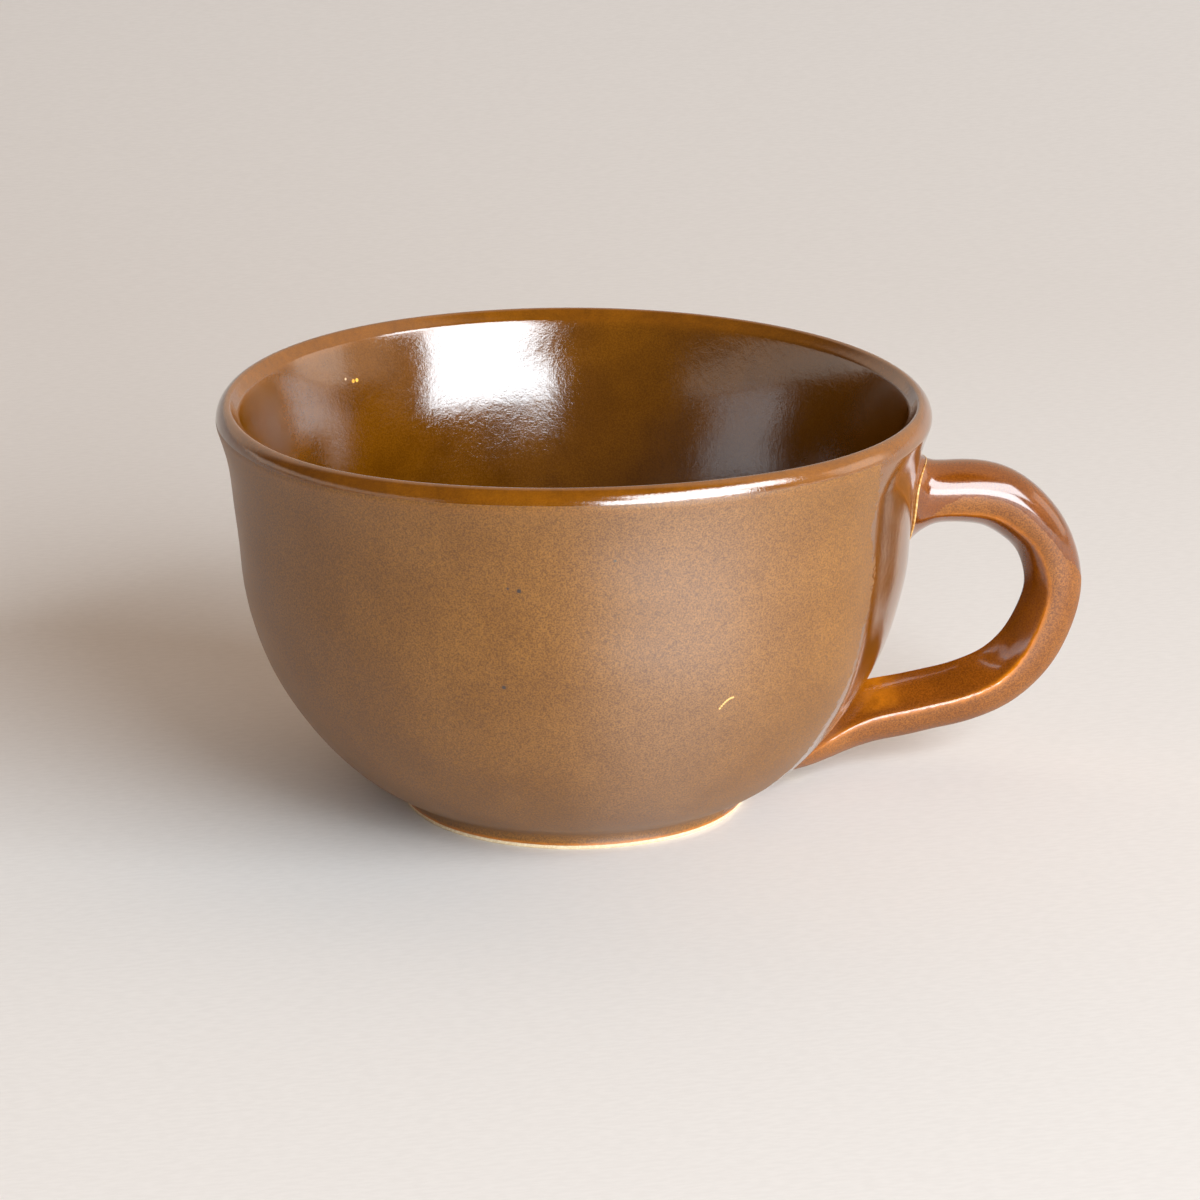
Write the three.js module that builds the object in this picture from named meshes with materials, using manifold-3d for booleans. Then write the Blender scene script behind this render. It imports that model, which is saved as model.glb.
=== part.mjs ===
// Stoneware coffee cup: a thrown bowl, a round, rolled handle luted on with slip, and its glaze coats.
// Millimetres, +Z up. The cup stands on z = 0 and its handle points along +X.

import * as THREE from "three";
import { mergeVertices } from "three/addons/utils/BufferGeometryUtils.js";
import Module from "manifold-3d";

// Bowl, over the glaze
const lipDiameter = 110;
const cupHeight = 64.6;
const lipThickness = 3.4;
const lipFlare = 17.7; // degrees that the wall leans out where it meets the lip
const lipFlarePull = 5.9;
const waistDiameter = 103.4; // where the belly turns into the wall
const waistHeight = 39.5;
const waistLean = 4; // degrees
const waistRise = 14;
const bellyRise = 17.6;
const bellyReach = 10.3;
const bellySlope = 23.5; // degrees above level, where the belly leaves the foot
const bellyStartHeight = 3.2;
const footFlare = 1.9; // how far the belly starts outside the foot
const wallThickness = 5.4; // at the inner waist's height
const floorThickness = 5.2;

// Foot ring
const footDiameter = 53.8;
const footBandHeight = 1.2;
const footRingWidth = 3.6;
const footRecess = 2.4;
const footRecessSlope = 1.2;
const wipedEdge = 0.4; // height of bare clay left by wiping the foot

// Inside
const lipInnerLean = 15; // degrees
const lipInnerPull = 8;
const innerWaistHeight = 37;
const innerWaistLean = 11; // degrees
const innerWaistRise = 10;
const innerBellyDrop = 17;
const innerFloorReach = 15;
const floorRadius = 17;
const floorDish = 0.5; // how far the floor's edge stands above its middle

// Glaze
const glazeThickness = 0.4;
const glazeEdge = 0.15; // thickness where it was wiped off
const glazeFit = 0.05;

// Handle, over the glaze
const upperRootDrop = 17; // from the lip's top down to the middle of the upper root
const upperArmDrop = 19.2; // from the lip's top down to the middle of the upper arm
const lowerArmHeight = 10.4;
const lowerRootHeight = 8.4;
const loopReach = 25.3; // from the wall at the upper arm out to the middle of the rod
const rootDepth = 9; // how far the rod's path runs on inside the wall at its upper root
const tailNeckReach = 10.5; // from the wall at the lower root
const tailNeckHeight = 10;
const tailProud = 2;
const tailTipDepth = 7.5;
const tailTipHeight = 4.8;
const upperRootWidth = 18;
const upperNeckWidth = 11;
const tailNeckWidth = 11.5;
const tailWidth = 15;
const upperRootThickness = 22;
const upperNeckThickness = 11.4;
const upperArmThickness = 10.1;
const outerBendThickness = 9.2;
const lowerArmThickness = 9.9;
const tailThickness = 12.4;
const tailTipThickness = 3;
// The loop's stations: reach is a share of loopReach, rise a share of the way from the lower arm to the upper
const loopStations = [
  { reach: 0.12, rise: 1.003, width: upperNeckWidth, thickness: upperNeckThickness },
  { reach: 0.403, rise: 0.996, width: upperArmThickness, thickness: upperArmThickness },
  { reach: 0.605, rise: 0.964, width: upperArmThickness, thickness: upperArmThickness },
  { reach: 0.789, rise: 0.878, width: outerBendThickness, thickness: outerBendThickness },
  { reach: 0.915, rise: 0.766, width: outerBendThickness, thickness: outerBendThickness },
  { reach: 1, rise: 0.56, width: outerBendThickness, thickness: outerBendThickness },
  { reach: 0.945, rise: 0.344, width: outerBendThickness, thickness: outerBendThickness },
  { reach: 0.81, rise: 0.215, width: outerBendThickness, thickness: outerBendThickness },
  { reach: 0.552, rise: 0.109, width: lowerArmThickness, thickness: lowerArmThickness },
  { reach: 0.193, rise: 0.025, width: lowerArmThickness, thickness: lowerArmThickness },
];

// Slip joints
const slipProud = 0.4; // how far the pad of slip stands out of the glazed wall
const slipMargin = 0.8; // how far it is squeezed out round the root
const cutClearance = 0.3;

// Facets
const turnSegments = 48;
const rodSteps = 30;
const rodSides = 16;

const wasm = await Module();
wasm.setup();

const radians = THREE.MathUtils.degToRad;

// A point moved from another by a distance, along an angle measured from upright towards +r.
function leaning(from, distance, degrees) {
  const angle = radians(degrees);
  return new THREE.Vector2(from.x + distance * Math.sin(angle), from.y + distance * Math.cos(angle));
}

// The glazed outline, as radius and height, from the wiped foot up the wall to where the lip starts.
function outsideOutline(lipCentre) {
  const footRadius = footDiameter / 2;
  const band = new THREE.Vector2(footRadius, footBandHeight);
  const bellyStart = new THREE.Vector2(footRadius + footFlare, bellyStartHeight);
  const filletCorner = new THREE.Vector2(
    footRadius,
    bellyStartHeight - footFlare * Math.tan(radians(bellySlope)),
  );
  const waist = new THREE.Vector2(waistDiameter / 2, waistHeight);
  const lipStart = leaning(lipCentre, lipThickness / 2, 90 + lipFlare);
  const fillet = new THREE.QuadraticBezierCurve(band, filletCorner, bellyStart);
  const belly = new THREE.CubicBezierCurve(
    bellyStart,
    leaning(bellyStart, bellyReach, 90 - bellySlope),
    leaning(waist, -bellyRise, waistLean),
    waist,
  );
  const wall = new THREE.CubicBezierCurve(
    waist,
    leaning(waist, waistRise, waistLean),
    leaning(lipStart, -lipFlarePull, lipFlare),
    lipStart,
  );
  return [
    new THREE.Vector2(footRadius, wipedEdge),
    ...fillet.getPoints(3),
    ...belly.getPoints(7).slice(1),
    ...wall.getPoints(4).slice(1),
  ];
}

// The glazed outline from the lip's outer edge, over the lip and down the inside to the middle of the floor.
function insideOutline(lipCentre) {
  const floorHeight = footRecess + floorThickness;
  const lipRadius = lipThickness / 2;
  const lipArc = (from, to) =>
    new THREE.EllipseCurve(lipCentre.x, lipCentre.y, lipRadius, lipRadius, radians(from), radians(to));
  const lipEnd = leaning(lipCentre, -lipRadius, 90 + lipInnerLean);
  const waist = new THREE.Vector2(waistDiameter / 2 - wallThickness, innerWaistHeight);
  const floorEdge = new THREE.Vector2(floorRadius, floorHeight + floorDish);
  const wall = new THREE.CubicBezierCurve(
    lipEnd,
    leaning(lipEnd, -lipInnerPull, lipInnerLean),
    leaning(waist, innerWaistRise, innerWaistLean),
    waist,
  );
  const belly = new THREE.CubicBezierCurve(
    waist,
    leaning(waist, -innerBellyDrop, innerWaistLean),
    new THREE.Vector2(floorEdge.x + innerFloorReach, floorEdge.y + 2 * floorDish),
    floorEdge,
  );
  return [
    ...lipArc(-lipFlare, 0).getPoints(1),
    ...lipArc(0, 90).getPoints(3).slice(1),
    ...lipArc(90, 180 - lipInnerLean).getPoints(2).slice(1),
    ...wall.getPoints(3).slice(1),
    ...belly.getPoints(7).slice(1),
    new THREE.Vector2(0, floorHeight),
  ];
}

// The glazed outline of the hollow under the cup, from the axis to the foot ring's inner edge.
function recessOutline() {
  const ringInside = footDiameter / 2 - footRingWidth;
  return [
    new THREE.Vector2(0, footRecess),
    new THREE.Vector2(ringInside - 2 * footRecessSlope, footRecess),
    new THREE.Vector2(ringInside - footRecessSlope, footRecess - footRecessSlope / 2),
    new THREE.Vector2(ringInside, wipedEdge),
  ];
}

// An outline moved square to itself: a positive distance goes out of the clay.
function offset(outline, distanceAt) {
  const last = outline.length - 1;
  return outline.map((point, i) => {
    const before = outline[Math.max(i - 1, 0)];
    const after = outline[Math.min(i + 1, last)];
    const along = after.clone().sub(before).normalize();
    const distance = distanceAt(point);
    const radius = point.x === 0 ? 0 : point.x + distance * along.y;
    return new THREE.Vector2(radius, point.y - distance * along.x);
  });
}

// A body turned about the Z axis from an outline that closes on itself or ends on the axis.
function turned(outline) {
  const geometry = new THREE.LatheGeometry(outline, turnSegments);
  geometry.rotateX(Math.PI / 2);
  return geometry;
}

// Glaze is thin along the line where the foot was wiped.
function coatAt(point) {
  return point.y === wipedEdge ? glazeEdge : glazeThickness;
}

// A stretch of an outline as a closed coat, between its glazed face and the clay behind it.
function coat(outline, from = 0, to = outline.length) {
  const face = outline.slice(from, to);
  const back = offset(outline, (point) => -coatAt(point)).slice(from, to);
  return turned([...face, ...back.toReversed(), face[0]]);
}

// Solids for cutting and joining

function solid(geometry) {
  const bare = geometry.clone();
  bare.deleteAttribute("normal");
  bare.deleteAttribute("uv");
  const merged = mergeVertices(bare);
  const index = merged.index.array;
  const triangles = [];
  for (let i = 0; i < index.length; i += 3) {
    const [a, b, c] = index.slice(i, i + 3);
    if (a !== b && b !== c && c !== a) triangles.push(a, b, c);
  }
  const mesh = new wasm.Mesh({
    numProp: 3,
    vertProperties: new Float32Array(merged.attributes.position.array),
    triVerts: new Uint32Array(triangles),
  });
  return new wasm.Manifold(mesh);
}

function shape(body) {
  const mesh = body.getMesh();
  const geometry = new THREE.BufferGeometry();
  geometry.setAttribute("position", new THREE.BufferAttribute(mesh.vertProperties, 3));
  geometry.setIndex(new THREE.BufferAttribute(mesh.triVerts, 1));
  geometry.computeVertexNormals();
  return geometry;
}

// Bowl outlines

const lipCentre = new THREE.Vector2(lipDiameter / 2 - lipThickness / 2, cupHeight - lipThickness / 2);
const outside = outsideOutline(lipCentre);
const skin = [...outside, ...insideOutline(lipCentre).slice(1)];
const recess = recessOutline();

function wallRadiusAt(height) {
  const above = outside.findIndex((point) => point.y >= height);
  const [low, high] = [outside[above - 1], outside[above]];
  return THREE.MathUtils.mapLinear(height, low.y, high.y, low.x, high.x);
}

// The clay under the glaze, from the axis round the foot ring, up the wall and down the inside.
function bowlOutline() {
  const underGlaze = (outline) => offset(outline, (point) => -coatAt(point) - glazeFit);
  const underside = underGlaze(recess);
  const wall = underGlaze(skin);
  const ringInside = new THREE.Vector2(underside.at(-1).x, 0);
  const ringOutside = new THREE.Vector2(wall[0].x, 0);
  return [...underside, ringInside, ringOutside, ...wall];
}

// The glazed wall as a solid filled to the axis, moved out by a distance.
function filledWall(distance) {
  const wall = offset(outside, () => distance);
  const bottom = new THREE.Vector2(0, wall[0].y);
  const top = new THREE.Vector2(0, wall.at(-1).y);
  return solid(turned([bottom, ...wall, top]));
}

// Handle

// The rod's path and its size along it: upper root, loop and the tail that is smoothed onto the belly.
function rodStations() {
  const upperArmHeight = cupHeight - upperArmDrop;
  const upperWall = wallRadiusAt(upperArmHeight);
  const lowerWall = wallRadiusAt(lowerRootHeight);
  const station = (radius, height, width, thickness) => ({
    centre: new THREE.Vector3(radius, 0, height),
    size: new THREE.Vector3(width, thickness, 0),
  });
  const loop = loopStations.map(({ reach, rise, width, thickness }) => {
    const height = THREE.MathUtils.lerp(lowerArmHeight, upperArmHeight, rise);
    return station(upperWall + reach * loopReach, height, width, thickness);
  });
  return [
    station(upperWall - rootDepth, cupHeight - upperRootDrop, upperRootWidth, upperRootThickness),
    ...loop,
    station(lowerWall + tailNeckReach, tailNeckHeight, tailNeckWidth, lowerArmThickness),
    station(lowerWall + tailProud, lowerRootHeight, tailWidth, tailThickness),
    station(lowerWall - tailTipDepth, tailTipHeight, tailWidth, tailTipThickness),
  ];
}

const stations = rodStations();
const rodLine = new THREE.CatmullRomCurve3(stations.map(({ centre }) => centre));
const rodSizes = new THREE.CatmullRomCurve3(stations.map(({ size }) => size));

// The rod between two shares of its path, with its section grown on all sides.
function rod(grow, from = 0, to = 1) {
  const steps = Math.round(rodSteps * (to - from));
  const positions = [];
  const indices = [];
  for (let step = 0; step <= steps; step++) {
    const share = from + ((to - from) * step) / steps;
    const centre = rodLine.getPoint(share);
    const along = rodLine.getTangent(share);
    const size = rodSizes.getPoint(share);
    for (let side = 0; side < rodSides; side++) {
      const turn = (2 * Math.PI * side) / rodSides;
      const across = (size.x / 2 + grow) * Math.cos(turn);
      const out = (size.y / 2 + grow) * Math.sin(turn);
      positions.push(centre.x - along.z * out, across, centre.z + along.x * out);
    }
  }
  for (let step = 0; step < steps; step++) {
    for (let side = 0; side < rodSides; side++) {
      const a = step * rodSides + side;
      const b = step * rodSides + ((side + 1) % rodSides);
      indices.push(a, b, a + rodSides, b, b + rodSides, a + rodSides);
    }
  }
  for (let side = 1; side < rodSides - 1; side++) {
    const end = steps * rodSides;
    indices.push(0, side + 1, side, end, end + side, end + side + 1);
  }
  const geometry = new THREE.BufferGeometry();
  geometry.setAttribute("position", new THREE.Float32BufferAttribute(positions, 3));
  geometry.setIndex(indices);
  return solid(geometry);
}

const jointCut = filledWall(slipProud + cutClearance);

function handleClay() {
  return shape(rod(-glazeThickness - glazeFit).subtract(jointCut));
}

function handleCoat() {
  return shape(rod(0).subtract(jointCut).subtract(rod(-glazeThickness)));
}

// A pad of slip between the clay wall and a root of the rod.
function slipPad(from, to) {
  const pad = filledWall(slipProud).subtract(filledWall(-glazeThickness));
  return shape(pad.intersect(rod(slipMargin, from, to)));
}

function outsideCoat() {
  const wholeCoat = solid(coat(skin, 0, outside.length));
  return shape(wholeCoat.subtract(rod(slipMargin + cutClearance)));
}

// Finishes, and the cup

const clay = new THREE.MeshStandardMaterial({ color: 0xd9bf9a, roughness: 0.85 });
const slip = new THREE.MeshStandardMaterial({ color: 0xe0a760, roughness: 0.7 });
const satinGlaze = new THREE.MeshStandardMaterial({ color: 0x8f5f33, roughness: 0.45 });
const glossGlaze = new THREE.MeshStandardMaterial({ color: 0x7a4a0a, roughness: 0.15 });

function piece(name, geometry, material) {
  const mesh = new THREE.Mesh(geometry, material);
  mesh.name = name;
  return mesh;
}

const upperShare = 0.3; // of the rod's path that belongs to the upper root
const lowerShare = 0.7;

const cup = new THREE.Group();
cup.add(
  piece("bowl", turned(bowlOutline()), clay),
  piece("outside_glaze", outsideCoat(), satinGlaze),
  piece("inside_glaze", coat(skin, outside.length - 1), glossGlaze),
  piece("foot_recess_glaze", coat(recess), glossGlaze),
  piece("handle", handleClay(), clay),
  piece("handle_glaze", handleCoat(), glossGlaze),
  piece("upper_slip_joint", slipPad(0, upperShare), slip),
  piece("lower_slip_joint", slipPad(lowerShare, 1), slip),
);

// The origin is under the middle of the whole cup, handle included.
const reach = new THREE.Box3().setFromObject(cup);
cup.position.x = -(reach.min.x + reach.max.x) / 2;

export default cup;
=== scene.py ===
import math

import bpy
import numpy as np
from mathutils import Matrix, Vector


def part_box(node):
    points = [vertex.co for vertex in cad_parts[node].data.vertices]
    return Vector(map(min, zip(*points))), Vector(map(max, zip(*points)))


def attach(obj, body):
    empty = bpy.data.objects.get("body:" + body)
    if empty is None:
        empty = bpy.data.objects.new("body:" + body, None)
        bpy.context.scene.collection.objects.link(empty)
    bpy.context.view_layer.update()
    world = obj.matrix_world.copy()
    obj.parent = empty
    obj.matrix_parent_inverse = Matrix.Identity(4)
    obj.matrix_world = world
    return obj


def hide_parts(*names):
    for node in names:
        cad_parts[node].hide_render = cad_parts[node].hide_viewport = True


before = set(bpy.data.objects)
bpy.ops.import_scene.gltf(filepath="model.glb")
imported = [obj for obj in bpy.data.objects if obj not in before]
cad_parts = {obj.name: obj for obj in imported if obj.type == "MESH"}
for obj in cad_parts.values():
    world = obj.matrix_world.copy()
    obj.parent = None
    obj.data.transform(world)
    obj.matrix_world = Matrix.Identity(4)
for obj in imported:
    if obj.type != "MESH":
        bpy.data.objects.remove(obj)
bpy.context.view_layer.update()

# Sizes are in millimetres about the bowl's axis until makePiece puts them into the frame
mm = 0.001
insideLow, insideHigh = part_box("inside_glaze")
bowlX = (insideLow.x + insideHigh.x) / 2  # where the frame has the bowl's axis
lipRadius = (insideHigh.x - insideLow.x) / 2 / mm
cupHeight = insideHigh.z / mm
glazeThickness = 0.4
claySink = 0.05  # the clay starts this far under the glaze's back
print("frame loaded, lip radius", round(lipRadius, 2), "height", round(cupHeight, 2))


# Curves

def bezier(a, b, c, d, count):  # four points weighted by (1-t)^3, 3t(1-t)^2, 3t^2(1-t) and t^3
    t = np.linspace(0, 1, count)[:, None]
    return (1 - t) ** 3 * a + 3 * t * (1 - t) ** 2 * b + 3 * t**2 * (1 - t) * c + t**3 * d


def leaning(start, distance, degrees):  # a point moved along an angle measured from upright towards +r
    angle = math.radians(degrees)
    return start + distance * np.array([math.sin(angle), math.cos(angle)])


def spline(knots, values):  # natural cubic: second slopes solved so that the first slopes agree at each knot
    gap = np.diff(knots)
    rise = np.diff(values, axis=0) / gap[:, None]
    matrix = np.diag(np.r_[1, 2 * (gap[:-1] + gap[1:]), 1])
    matrix += np.diag(np.r_[gap[:-1], 0], -1) + np.diag(np.r_[0, gap[1:]], 1)
    side = np.vstack([0 * rise[:1], 6 * np.diff(rise, axis=0), 0 * rise[:1]])
    bend = np.linalg.solve(matrix, side)

    def at(where):
        i = np.clip(np.searchsorted(knots, where) - 1, 0, len(gap) - 1)
        h = gap[i][:, None]
        x = (where - knots[i])[:, None]
        y = h - x
        cubic = (bend[i] * y**3 + bend[i + 1] * x**3) / (6 * h)
        return cubic + (values[i] / h - bend[i] * h / 6) * y + (values[i + 1] / h - bend[i + 1] * h / 6) * x

    return at


def smooth(value, low, high):  # 0 below low, 1 above high, 3t^2 - 2t^3 between
    t = np.clip((value - low) / (high - low), 0, 1)
    return t * t * (3 - 2 * t)


def offset(outline, distance):  # moved square to itself, to the right of its direction
    along = np.gradient(outline, axis=0)
    along /= np.linalg.norm(along, axis=1)[:, None]
    return outline + distance * np.stack([along[:, 1], -along[:, 0]], 1)


def thinned(rows, step):  # the first row, every step-th row from the second on, and the last row
    keep = np.r_[0, np.arange(1, len(rows) - 1, step), len(rows) - 1]
    return rows[keep]


# Meshes

sharpAngle = 50  # degrees between two faces that make their edge a sharp one


def makePiece(name, grid, material, nodes, wrapRows=False, masks=None):
    # grid[row, column] holds points; columns close on themselves, rows close on themselves or end in a pole
    rows, columns = grid.shape[:2]
    index = np.arange(rows * columns).reshape(rows, columns)
    points = grid.reshape(-1, 3)
    if wrapRows:
        index = np.vstack([index, index[:1]])
    beside = np.roll(index, -1, axis=1)
    faces = np.stack([index[:-1], beside[:-1], beside[1:], index[1:]], -1).reshape(-1, 4).tolist()
    if not wrapRows:
        points = np.vstack([points, grid[0].mean(0), grid[-1].mean(0)])
        first = np.full(columns, rows * columns)
        faces += np.stack([first, beside[0], index[0]], -1).tolist()
        faces += np.stack([index[-1], beside[-1], first + 1], -1).tolist()
    corner = points[np.array([face[:3] for face in faces])]
    volume = np.einsum("ij,ij->i", corner[:, 0], np.cross(corner[:, 1], corner[:, 2])).sum()
    if volume < 0:  # faces point outwards
        faces = [face[::-1] for face in faces]
    mesh = bpy.data.meshes.new(name)
    mesh.from_pydata((points * mm + np.array([bowlX, 0, 0])).tolist(), [], faces)
    mesh.polygons.foreach_set("use_smooth", np.ones(len(faces), bool))
    mesh.set_sharp_from_angle(angle=math.radians(sharpAngle))
    for maskName, mask in (masks or {}).items():
        values = mask.reshape(-1)
        if not wrapRows:
            values = np.r_[values, mask[0].mean(), mask[-1].mean()]
        attribute = mesh.attributes.new(maskName, "FLOAT", "POINT")
        attribute.data.foreach_set("value", values.astype(np.float32))
    mesh.materials.append(material)
    mesh.validate()
    piece = bpy.data.objects.new(name, mesh)
    bpy.context.scene.collection.objects.link(piece)
    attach(piece, "root")
    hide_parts(*nodes)
    print("made", name, "with", len(faces), "faces")


# Shader helpers

def addNode(tree, kind, inputs=None, **settings):
    node = tree.nodes.new("ShaderNode" + kind)
    for key, value in settings.items():
        setattr(node, key, value)
    for key, value in (inputs or {}).items():
        if isinstance(value, bpy.types.NodeSocket):
            tree.links.new(value, node.inputs[key])
        else:
            node.inputs[key].default_value = value
    return node


def mathNode(tree, operation, first, second=0.0, clamp=False):
    return addNode(tree, "Math", {0: first, 1: second}, operation=operation, use_clamp=clamp).outputs[0]


def mixColor(tree, factor, first, second, blend="MIX"):
    inputs = {0: factor, 6: first, 7: second}  # the colour sockets come after those of the other data types
    return addNode(tree, "Mix", inputs, data_type="RGBA", blend_type=blend).outputs[2]


def ranged(tree, value, fromLow, fromHigh, toLow=0.0, toHigh=1.0):
    inputs = {"Value": value, "From Min": fromLow, "From Max": fromHigh, "To Min": toLow, "To Max": toHigh}
    return addNode(tree, "MapRange", inputs, interpolation_type="SMOOTHSTEP").outputs[0]


def noise(tree, place, size, detail=2.0, roughness=0.5):  # size is a grain's width in millimetres
    inputs = {"Vector": place, "Scale": 1 / (size * mm), "Detail": detail, "Roughness": roughness}
    return addNode(tree, "TexNoise", inputs).outputs[0]


def objectPlace(tree):
    return addNode(tree, "TexCoord").outputs["Object"]


def newGroup(name, inputs, outputs):
    group = bpy.data.node_groups.new(name, "ShaderNodeTree")
    for label, kind, value in inputs:
        socket = group.interface.new_socket(label, in_out="INPUT", socket_type="NodeSocket" + kind)
        socket.default_value = value
    for label, kind in outputs:
        group.interface.new_socket(label, in_out="OUTPUT", socket_type="NodeSocket" + kind)
    return group, group.nodes.new("NodeGroupInput").outputs, group.nodes.new("NodeGroupOutput")


def newMaterial(name, **constants):
    material = bpy.data.materials.new(name)
    material.use_nodes = True
    tree = material.node_tree
    shader = tree.nodes["Principled BSDF"]
    for socket, value in constants.items():
        shader.inputs[socket].default_value = value
    return material, tree, shader


# Amber iron glaze: cloudy amber, fine grain, iron specks, orange where it thins on an edge

ironGlaze = dict(
    cloud=(9, 3),  # grain width in millimetres and detail; a third value is the noise's roughness
    cloudRange=(0.35, 0.65),  # noise values between which a part comes in
    grain=(0.25, 2, 0.6),
    grainRange=(0.3, 0.7),
    darkGrain=(0.56, 0.5, 0.42, 1),  # the grain multiplies the colour by these
    paleGrain=(1.38, 1.46, 1.7, 1),
    patch=(1.6, 3, 0.6),
    patchRange=(0.25, 0.7),
    patchShare=(0.6, 1.3),  # the thin glaze comes out in patches, by these shares
    # the thin colour also paints the orange highlight beside the handle's lower root
    thinColor=(0.62, 0.18, 0.004, 1),
    speckSpacing=5.5,
    speckLot=0.94,  # a cell has a speck where its random lot is above this
    speckEdge=(0.035, 0.06),  # in shares of the spacing
    speckCover=0.85,
    speckColor=(0.03, 0.014, 0.008, 1),
    peel=(1.1, 2),
    peelHeight=0.6,
    grainHeight=0.4,
    speckDepth=0.6,
)


def makeGlazeGroup():
    inputs = [
        ("Deep", "Color", (0.15, 0.05, 0.003, 1)),
        ("Light", "Color", (0.24, 0.085, 0.004, 1)),
        ("Thin", "Float", 0.0),
        ("Grain", "Float", 0.5),
    ]
    outputs = [("Color", "Color"), ("Rough", "Float"), ("Height", "Float")]
    group, given, result = newGroup("amberGlaze", inputs, outputs)
    place = objectPlace(group)
    cloud = ranged(group, noise(group, place, *ironGlaze["cloud"]), *ironGlaze["cloudRange"])
    color = mixColor(group, cloud, given["Deep"], given["Light"])
    grain = noise(group, place, *ironGlaze["grain"])  # fine sugary grain
    fleck = ranged(group, grain, *ironGlaze["grainRange"])
    dark = mixColor(group, 1.0, color, ironGlaze["darkGrain"], "MULTIPLY")
    pale = mixColor(group, 1.0, color, ironGlaze["paleGrain"], "MULTIPLY")
    grained = mixColor(group, fleck, dark, pale)
    color = mixColor(group, given["Grain"], color, grained)
    patch = noise(group, place, *ironGlaze["patch"])
    patch = ranged(group, patch, *ironGlaze["patchRange"], *ironGlaze["patchShare"])
    thin = mathNode(group, "MULTIPLY", given["Thin"], patch, True)
    color = mixColor(group, thin, color, ironGlaze["thinColor"])
    cell = addNode(group, "TexVoronoi", {"Vector": place, "Scale": 1 / (ironGlaze["speckSpacing"] * mm)})
    lot = addNode(group, "SeparateColor", {0: cell.outputs["Color"]}).outputs[0]
    chosen = mathNode(group, "GREATER_THAN", lot, ironGlaze["speckLot"])
    near = ranged(group, cell.outputs["Distance"], *ironGlaze["speckEdge"], 1, 0)
    speck = mathNode(group, "MULTIPLY", near, chosen)
    cover = mathNode(group, "MULTIPLY", speck, ironGlaze["speckCover"])
    color = mixColor(group, cover, color, ironGlaze["speckColor"])
    peelPart = mathNode(group, "MULTIPLY", noise(group, place, *ironGlaze["peel"]), ironGlaze["peelHeight"])
    grainPart = mathNode(group, "MULTIPLY", grain, ironGlaze["grainHeight"])
    pit = mathNode(group, "MULTIPLY", speck, ironGlaze["speckDepth"])
    height = mathNode(group, "SUBTRACT", mathNode(group, "ADD", peelPart, grainPart), pit)
    group.links.new(color, result.inputs["Color"])
    group.links.new(fleck, result.inputs["Rough"])
    group.links.new(height, result.inputs["Height"])
    return group


reliefDepth = 0.1  # millimetres between the bump's lowest and highest
brushTurn = 0.25  # of a whole turn, so that a brushed reflection spreads up and down
glossEdge = dict(
    noise=(1.3, 3, 0.6),  # the edge between gloss and satin is ragged
    range=(0.25, 0.75),
    ragged=(-0.25, 0.25),  # how far the noise moves the mask
    mask=(0.35, 0.65),
)


def addRelief(tree, shader, height, strength):
    relief = {"Height": height, "Strength": strength, "Distance": reliefDepth * mm}
    tree.links.new(addNode(tree, "Bump", relief).outputs[0], shader.inputs["Normal"])


def glazeMaterial(name, group, look, satin=None):
    # with a satin look beside the glossy one, the gloss mask takes each varying value from satin to glossy
    material, tree, shader = newMaterial(name, **{
        "IOR": look["ior"],
        "Specular IOR Level": look["specular"],
        "Anisotropic": look["brushed"],
        "Anisotropic Rotation": brushTurn,
        "Coat Weight": look["coat"],
        "Coat Roughness": look["coatRoughness"],
    })
    glaze = addNode(tree, "Group", node_tree=group)
    tree.links.new(addNode(tree, "Attribute", attribute_name="thin").outputs["Fac"], glaze.inputs["Thin"])
    rough = ranged(tree, glaze.outputs["Rough"], 0, 1, *look["roughness"])
    for socket in ("Deep", "Light", "Grain"):
        glaze.inputs[socket].default_value = look[socket.lower()]
    if satin:
        ragged = noise(tree, objectPlace(tree), *glossEdge["noise"])
        ragged = ranged(tree, ragged, *glossEdge["range"], *glossEdge["ragged"])
        mask = addNode(tree, "Attribute", attribute_name="gloss").outputs["Fac"]
        mask = ranged(tree, mathNode(tree, "ADD", mask, ragged), *glossEdge["mask"])
        for socket in ("Deep", "Light"):
            mixed = mixColor(tree, mask, satin[socket.lower()], look[socket.lower()])
            tree.links.new(mixed, glaze.inputs[socket])
        tree.links.new(ranged(tree, mask, 0, 1, satin["grain"], look["grain"]), glaze.inputs["Grain"])
        tree.links.new(ranged(tree, mask, 0, 1, satin["coat"], look["coat"]), shader.inputs["Coat Weight"])
        satinRough = ranged(tree, glaze.outputs["Rough"], 0, 1, *satin["roughness"])
        rough = ranged(tree, mask, 0, 1, satinRough, rough)
    tree.links.new(glaze.outputs["Color"], shader.inputs["Base Color"])
    tree.links.new(rough, shader.inputs["Roughness"])
    addRelief(tree, shader, glaze.outputs["Height"], look["bump"])
    return material


satinLook = dict(
    deep=(0.187, 0.072, 0.0097, 1),
    light=(0.208, 0.0825, 0.0123, 1),
    grain=1.0,
    roughness=(0.44, 0.52),
    coat=0.08,
)
glossLook = dict(
    deep=(0.118, 0.036, 0.0006, 1),
    light=(0.152, 0.048, 0.0009, 1),
    grain=0.4,
    roughness=(0.07, 0.13),
    brushed=0.0,
    ior=1.55,
    specular=0.95,
    coat=0.3,
    coatRoughness=0.05,
    bump=0.45,
)
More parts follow.
